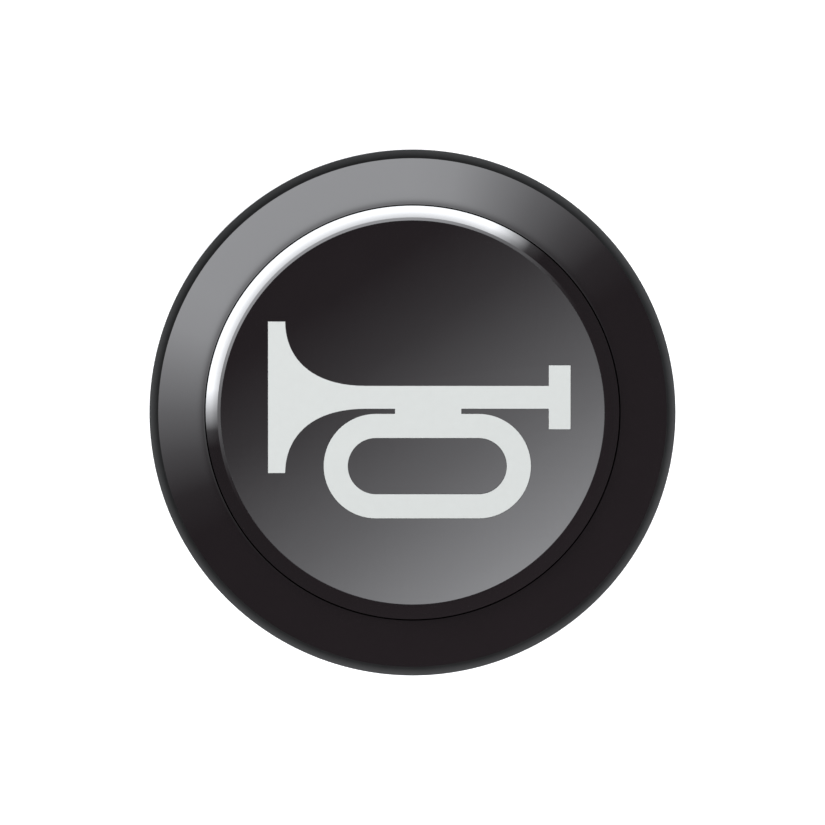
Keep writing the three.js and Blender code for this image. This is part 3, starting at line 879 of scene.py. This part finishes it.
def retainer():
    """The disc that closes the barrel under the spring."""
    section = rounded([
        (2.3, -16.4, 0.15), (9.2, -16.4, 0.15), (9.2, -15.2, 0.2), (8.1, -15.2, 0.1), (7.9, -15.4, 0.1),
        (5.6, -15.4, 0.2), (4.2, -15.2, 0.2), (3.6, -14.5, 0.2), (2.3, -14.5, 0.15),
    ], 4)
    disc = turned(section, 96)
    made_piece("spring_seat", disc, "housing", ["spring_retainer"], ACETAL)


def plunger():
    """The cap's stem, its stop flange, and the pin that works the contacts."""
    top = box_mm("plunger")[1].z
    section = stepped([
        (5, top, 0.3), (5, -3.6, 0.3), (8.6, -3.6, 0.2), (8.6, -5.0, 0.2), (6.2, -5.0, 0.2), (4, -5.2, 0.2),
        (4, -6.8, 0.4), (2, -7.6, 0.4), (2, -16.95, 0.4),
    ], -16.95, 5)
    made_piece("stem", turned(section, 96), "button", ["plunger"], ACETAL)


def spring(name, node, body, mean_r, wire, turns):
    """A compression spring riding on one body, with a mesh of its own."""
    low, high = box_mm(node)
    made = made_piece(name, coil(mean_r, wire, low.z, high.z, turns), body, [node], WIRE)
    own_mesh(made)


def springs():
    """The one under the stem's flange, the one on the bridge, and the one under the push pin."""
    spring("main_spring", "return_spring", "housing", 6.6, 0.8, 4)
    spring("bridge_spring", "contact_spring", "carriage", 1.25, 0.35, 5)
    spring("reset_spring", "carriage_spring", "housing", 1.6, 0.35, 3)


# ---- Contact block ----


def carrier():
    """The cup that clips the block on the barrel, ribbed for grip, with a window for the release tab."""
    low, high = box_mm("carrier")
    outer, rib = 13.2, 0.3
    outline = []
    for k in range(180):
        angle = 2 * k + 1
        grooved = 40 < angle % 180 < 140 and k % 3 == 0
        outline.append(on_circle(outer - rib if grooved else outer, angle))
    shell = plate(low.z, high.z, outline)
    soften(shell, 0.35, level_rims(shell), 3)
    bore, pin_hole = rod(BARREL_R + 0.1, -16.55, -10, 144), rod(6.1, -21, -16)
    window = soften(block((9, -3.1, -14.5), (15, 3.1, -12.9)), 0.2)
    recess = soften(block((12.75, -4.4, -15.6), (15, 4.4, -12.0)), 0.25)
    slots = []
    for angle in (90, 180, 270):
        slots.append(about_z(soften(block((9, -1.2, -15.0), (15, 1.2, -12.4)), 0.3), angle))
    cup = carved(shell, bore, pin_hole, window, recess, *slots)
    made_piece("clip_cup", cup, "housing", ["carrier"], GREY, 32)


def release_slide():
    """The amber latch: a tongue that bears on the barrel's groove, and a ribbed tab for the finger."""
    low, high = box_mm("release_slide")
    tip_r, half = 10.3, 2.9
    tip = math.degrees(math.asin(half / tip_r))
    tongue = plate(-14.4, -13.0, [*arc((0, 0), tip_r, -tip, tip, 10), (13.4, half), (13.4, -half)])
    tab = soften(block((13.25, -3.4, low.z), (13.85, 3.4, high.z)), 0.15)
    ribs = [
        soften(block((13.7, -half, z - 0.17), (high.x, half, z + 0.17)), 0.1) for z in (-14.4, -13.7, -13.0)
    ]
    latch = joined(soften(tongue, 0.12), tab, *ribs)
    made_piece("release_tab", latch, "latch", ["release_slide"], AMBER, 40)


def block_outline(inset, corner=0.9):
    """The block's eight-sided outline, drawn in by inset."""
    x, half_end = 13 - inset, 5.4 - inset * 0.4
    half_side, y = 9.7 - inset * 0.4, 9.0 - inset
    right = [(x, -half_end, corner), (x, half_end, corner), (half_side, y, corner)]
    left = [(-half_side, y, corner), (-x, half_end, corner), (-x, -half_end, corner)]
    return rounded(right + left + [(-half_side, -y, corner), (half_side, -y, corner)], 6)


def block_housing():
    """The contact block's case, open underneath, with a wire channel and a screw hole at each end."""
    low, high = box_mm("block_housing")
    case = plate(low.z, CASE_TOP, block_outline(0))
    soften(case, 0.4, [e for e in case.edges if min(v.co.z for v in e.verts) > CASE_TOP - 0.05], 4)
    pin_r, below = 2.35, low.z - 0.35
    cutters = [block((-7, -4.4, below), (7, 4.4, -23.05)), rod(pin_r, -24, -19)]
    cutters += [moved(rod(1, below, -31.5, 24), y=y) for y in (LID_SCREW_Y, -LID_SCREW_Y)]
    for angle, _ in SIDES:
        channel = soften(block((9.7, -3.9, below), (15, 3.9, -25.5)), 0.35)
        strip_way = block((6, -2.6, -35.6), (10, 2.6, -34.8))
        nut_pocket = block((7.7, -2.85, -33.65), (9.8, 2.85, -27.95))
        screw_way = upright(rod(1.7, 6.5, 10, 32), 0)
        panel = soften(block((-6.5, 8.72, -36.2), (6.5, 10, -23.4)), 0.25)
        slits = [block((10.2, y - 0.35, -36.5), (14, y + 0.35, -24)) for y in (-4.752, 4.752)]
        cutters += [about_z(c, angle) for c in (channel, strip_way, nut_pocket, screw_way, panel, *slits)]
    case = carved(case, *cutters)
    spigot = turned(rounded([
        (pin_r, -20.6), (6, -20.6), (6, high.z, 0.3), (2.9, high.z, 0.1), (pin_r, high.z - 0.5, 0.1),
    ], 4), 72)
    ribs = []
    for x in (-4.5, -1.5, 1.5, 4.5):
        for y in (-8.85, 8.85):
            ribs.append(soften(block((x - 0.45, y - 0.13, -35), (x + 0.45, y + 0.13, -24.6)), 0.1))
    whole = joined(case, spigot, *ribs)
    made_piece("block_case", whole, "housing", ["block_housing"], GREY, 32)


def block_cover():
    """The lid at the rear: two countersinks, a wire mouth at each end, and a shallow panel."""
    low, high = box_mm("block_cover")
    lid = plate(low.z, high.z, block_outline(0.15))
    soften(lid, 0.35, [e for e in lid.edges if max(v.co.z for v in e.verts) < low.z + 0.1], 3)
    below, above = low.z - 1, high.z + 1
    cutters = [rod(2.4, -39.6, -38), soften(block((-7.6, -3.4, below), (7.6, 3.4, low.z + 0.25)), 0.2)]
    for y in (-LID_SCREW_Y, LID_SCREW_Y):
        sink = turned([(0, below), (2.1, below), (2.1, -40.4), (1.15, -39.5), (1.15, above), (0, above)], 40)
        cutters.append(moved(sink, y=y))
    for angle, _ in SIDES:
        cutters.append(about_z(soften(block((10.5, -3.4, below), (15, 3.4, above)), 0.3), angle))
    made_piece("block_lid", carved(lid, *cutters), "housing", ["block_cover"], NYLON, 32)


def screw(head_r, head_h, thread_r, length, slot_wide, slot_deep, pitch=0.5):
    """A cheese-head screw with its head's underside at 0, its shank going down, and a slot in its head."""
    core_r = thread_r * 0.86
    head = [(head_r, head_h, head_h * 0.22), (head_r, 0, head_h * 0.1)]
    section = stepped([*head, (core_r, 0, 0.05), (core_r, -length, 0.15)], -length)
    half_wide, half_long = slot_wide / 2, head_r * 1.2
    cut = block((-half_wide, -half_long, head_h - slot_deep), (half_wide, half_long, head_h + 1))
    return joined(carved(turned(section, 56), cut), thread(core_r, thread_r, pitch, -length + 0.2, -0.3, 40))


def cover_screws():
    """The two screws that hold the lid, their heads sunk in it."""
    head_h = 0.5
    for y, side, turn in ((-LID_SCREW_Y, "front", 25), (LID_SCREW_Y, "back", -40)):
        node = "cover_screw_" + side
        made = about_z(spun(screw(2.0, head_h, 0.88, 8.4, 0.5, 0.35), 180, "X"), turn)
        moved(made, y=y, z=box_mm(node)[0].z + head_h)
        made_piece("lid_screw_" + side, made, "housing", [node], ZINC, 35)


def terminals():
    """At each end: a screw, its clamp plate and nut, and the contact strip that they hold a wire on."""
    for angle, side in SIDES:
        fixing = about_z(upright(screw(2.6, 1.5, 1.45, 4.0, 0.7, 0.7), 11.3), angle)
        made_piece("terminal_" + side, fixing, "housing", ["terminal_screw_" + side], ZINC, 35)

        clamp = crisp(plate(0, 0.8, box_outline(3.2, 3.2, 0.7), circle(1.65, 40)), 0.14)
        grooves = [block((-3.4, y - 0.16, -0.2), (3.4, y + 0.16, 0.14)) for y in (-2.6, -1.95, 1.95, 2.6)]
        clamp = about_z(upright(carved(clamp, *grooves), 10.45), angle)
        made_piece("clamp_" + side, clamp, "housing", ["clamp_plate_" + side], ZINC)

        nut = crisp(plate(0, 1.85, box_outline(2.75, 2.75, 0.35), circle(1.5, 40)), 0.14)
        nut = about_z(upright(nut, 7.75), angle)
        made_piece("nut_" + side, nut, "housing", ["terminal_nut_" + side], ZINC)

        bent = plate(-3, 3, rounded([
            (3.7, -35.5, 0.1), (10.4, -35.5, 0.9), (10.4, -27.4, 0.15), (9.8, -27.4, 0.15),
            (9.8, -34.9, 0.35), (3.7, -34.9, 0.1),
        ], 6))
        crisp(spun(bent, 90, "X"), 0.07, 60)
        waist = [block((3, y, -36), (9.2, y + 0.8, -34)) for y in (-3.2, 2.4)]
        strip = about_z(carved(bent, *waist, upright(rod(1.7, 9, 11, 40), 0)), angle)
        made_piece("strip_" + side, strip, "housing", ["fixed_contact_" + side], BRASS)

        tip = turned([
            (0, -34.88), (1.2, -34.88), *arc((1.0, -34.72), 0.2, 0, 70, 4), (0.5, -34.42), (0, -34.4),
        ], 40)
        about_z(moved(tip, x=CONTACT_X), angle)
        made_piece("fixed_tip_piece_" + side, tip, "housing", ["fixed_tip_" + side], SILVER)


def bridge():
    """The bar that joins the two contacts when it comes down, with a coined tip at each end."""
    low, high = box_mm("contact_bridge")
    half = [
        (6.2, 1.5, 0.7), (3.4, 1.5, 0.5), (2.9, 1.1, 0.5),
        (-2.9, 1.1, 0.5), (-3.4, 1.5, 0.5), (-6.2, 1.5, 0.7),
    ]
    outline = rounded(half + [(-x, -y, r) for x, y, r in half], 4)
    bar = crisp(plate(low.z, high.z, outline), 0.08)
    made_piece("bridge_bar", bar, "bridge", ["contact_bridge"], BRASS)
    for angle, side in SIDES:
        tip = turned([
            (0, -31.9), (0.45, -31.88), *arc((0.9, -31.7), 0.2, -70, 0, 4), (1.1, -31.38), (0, -31.38),
        ], 40)
        about_z(moved(tip, x=CONTACT_X), angle)
        made_piece("bridge_tip_piece_" + side, tip, "bridge", ["bridge_tip_" + side], SILVER)


def carriage():
    """The green push pin with the frame that carries the bridge."""
    low, high = box_mm("contact_carriage")
    window = soften(block((-4, -1.8, -31.4), (4, 1.8, -25)), 0.2)
    body = carved(soften(block((-2.5, -3, -33.5), (2.5, 3, -23.1)), 0.3), window)
    pin = turned([(0, -23.4), (2.2, -23.4), *arc((1.8, high.z - 0.4), 0.4, 0, 90, 5), (0, high.z)], 48)
    peg = turned([(0, -33.2), (1, -33.2), (1, low.z + 0.25), (0.75, low.z), (0, low.z)], 32)
    whole = joined(body, pin, peg)
    made_piece("push_pin", whole, "carriage", ["contact_carriage"], GREEN)


# ---- Studio ----

LIGHT_AXIS = 120  # degrees round from +X, the side that the main light comes from
NEAR_AXIS = 123.5  # the same for the soft gradient straight above
COOL = (0.98, 1.0, 1.035)  # the lights' tint
KEY = 1.9  # strengths of the big light, the strip, the light from below, the light all round and the fill
STRIP = 6.6
BELOW = 0.6
AMBIENT = 0.04
FILL = 4.6
FILL_TILT = 57  # degrees from straight above
FILL_SPREAD = 100  # degrees across
CAMERA_LENS = 1400
SENSOR = 36
VIEW_WIDTH = 46.26  # the width that the camera sees at the gasket


def studio_light():
    """A big soft light from one side, and a bright strip near the horizon behind it."""
    world = bpy.data.worlds.new("studio")
    bpy.context.scene.world = world
    nodes = Nodes(world)
    way = nodes.add("ShaderNodeTexCoord", {}, {}, 0)

    def along(degrees):
        return nodes.vector_maths("DOT_PRODUCT", way, (*on_circle(1, degrees), 0))

    up = nodes.vector_maths("DOT_PRODUCT", way, (0, 0, 1))
    level = nodes.add("ShaderNodeMath", {"operation": "SQRT"}, {0: 1.00001 - up * up})
    facing = (along(LIGHT_AXIS) / level) * 0.5 + 0.5
    height = up * 0.5 + 0.5  # 0 straight below, 1 straight above
    near_axis = nodes.ramp(along(NEAR_AXIS) + 0.3, [
        (0.12, 0), (0.17, 0.003), (0.213, 0.045), (0.242, 0.077), (0.261, 0.118), (0.3, 0.209), (0.339, 0.31),
        (0.358, 0.354), (0.387, 0.451), (0.426, 0.609), (0.456, 0.735), (0.484, 0.89), (0.53, 1.0),
    ])
    window = nodes.ramp(facing, [
        (0.5, 0), (0.587, 0.03), (0.671, 0.168), (0.75, 0.372), (0.821, 0.646), (0.883, 0.93), (0.933, 1),
    ])
    cone = nodes.ramp(up, [(0.9636, 0), (0.9799, 1)], "EASE")
    lower_edge = nodes.ramp(up, [(0.904, 1), (0.9373, 0.98), (0.9505, 0.87), (0.9593, 0.655), (0.9659, 0.45)])
    above = nodes.ramp(height, [(0.735, 0), (0.75, 1)])
    key = (near_axis * cone + window * lower_edge * (1 - cone)) * above * KEY
    strip_height = nodes.ramp(height, [
        (0.4, 0), (0.43, 0.964), (0.4558, 0.964), (0.4843, 0.905),
        (0.5172, 0.77), (0.5492, 0.665), (0.5696, 0.60), (0.5825, 0),
    ])
    strip_width = nodes.ramp(facing, [(0.671, 0), (0.71, 0.03), (0.75, 0.36), (0.80, 1)])
    below = nodes.ramp(height, [(0.3, 1), (0.38, 0)])
    light = key + strip_height * strip_width * STRIP + below * BELOW + AMBIENT
    tinted = nodes.add("ShaderNodeVectorMath", {"operation": "SCALE"}, {0: COOL, "Scale": light})
    studio = nodes.add("ShaderNodeBackground", {}, {"Color": tinted})
    paper = nodes.add("ShaderNodeBackground", {}, {"Color": (1, 1, 1, 1), "Strength": 1.05})
    seen = nodes.add("ShaderNodeLightPath", {}, {}, 0)
    shown = nodes.add("ShaderNodeMixShader", {}, {0: seen, 1: studio, 2: paper})
    nodes.add("ShaderNodeOutputWorld", {}, {"Surface": shown})


def fill_light():
    """A soft light from the far side. It lifts the matt surfaces and shows in no reflection."""
    lamp = bpy.data.lights.new("fill", "SUN")
    lamp.energy = FILL
    lamp.angle = math.radians(FILL_SPREAD)
    lamp.color = COOL
    made = bpy.data.objects.new("fill", lamp)
    made.rotation_euler = (0, math.radians(FILL_TILT), math.radians(LIGHT_AXIS + 180))
    made.visible_glossy = False
    bpy.context.scene.collection.objects.link(made)


def pale_floor():
    """The lit white table that the button stands on. It throws less light back than it shows."""
    made, nodes = material("lit_paper")
    grain = nodes.noise(nodes.place(), 0.6, 3)
    paper = nodes.add("ShaderNodeBsdfPrincipled", {}, {
        "Base Color": nodes.mix(grain, (0.78, 0.78, 0.78, 1), (0.82, 0.82, 0.82, 1)),
        "Roughness": 0.9,
        "Specular IOR Level": 0.0,
        "Emission Color": (1, 1, 1, 1),
        "Emission Strength": 0.62,
    })
    underlay = nodes.add("ShaderNodeBsdfDiffuse", {}, {"Color": (0.22, 0.22, 0.22, 1)})
    seen = nodes.add("ShaderNodeLightPath", {}, {}, 0)
    shown = nodes.add("ShaderNodeMixShader", {}, {0: seen, 1: underlay, 2: paper})
    nodes.add("ShaderNodeOutputMaterial", {}, {"Surface": shown})
    bm = bmesh.new()
    bmesh.ops.create_circle(bm, cap_ends=True, segments=96, radius=0.25)
    bmesh.ops.translate(bm, vec=(0, 0, (FLOOR_Z - 0.02) * MM), verts=bm.verts)
    mesh = bpy.data.meshes.new("floor")
    bm.to_mesh(mesh)
    bm.free()
    mesh.materials.append(made)
    floor = bpy.data.objects.new("floor", mesh)
    bpy.context.scene.collection.objects.link(floor)


def camera():
    """Straight above the cap, far off, with a long lens."""
    lens = bpy.data.cameras.new("camera")
    lens.lens = CAMERA_LENS
    lens.sensor_width = SENSOR
    distance = VIEW_WIDTH * CAMERA_LENS / SENSOR * MM
    lens.clip_start = 0.1
    lens.clip_end = distance + 1
    made = bpy.data.objects.new("camera", lens)
    made.location = (0, 0, distance + 0.8 * MM)
    bpy.context.scene.collection.objects.link(made)
    bpy.context.scene.camera = made


bpy.context.scene.view_settings.view_transform = "Standard"
camera()
studio_light()
fill_light()
pale_floor()

GLOSS = lacquered_black()
LEGEND = pale_inlay()
RUBBER = gasket_rubber()
NYLON = filled_nylon("black_nylon", (0.010, 0.010, 0.011, 1), (0.026, 0.026, 0.027, 1), 0.36)
GREY = filled_nylon("grey_nylon", (0.118, 0.125, 0.132, 1), (0.178, 0.187, 0.194, 1), 0.42, 5.0)
ACETAL = slick_plastic("natural_acetal", (0.70, 0.68, 0.61, 1), (0.76, 0.74, 0.68, 1), 0.28)
GREEN = slick_plastic("green_acetal", (0.022, 0.20, 0.06, 1), (0.032, 0.27, 0.085, 1), 0.3)
AMBER = slick_plastic("amber_acetal", (0.62, 0.30, 0.015, 1), (0.70, 0.37, 0.03, 1), 0.3)
ZINC = plated_steel()
WIRE = drawn_wire()
BRASS = stamped_brass()
SILVER = contact_silver()

gasket()
bezel()
cap()
face()
bugle()
barrel()
lip_seal()
lock_washer()
ring_nut()
retainer()
plunger()
springs()
carrier()
release_slide()
block_housing()
block_cover()
cover_screws()
terminals()
bridge()
carriage()
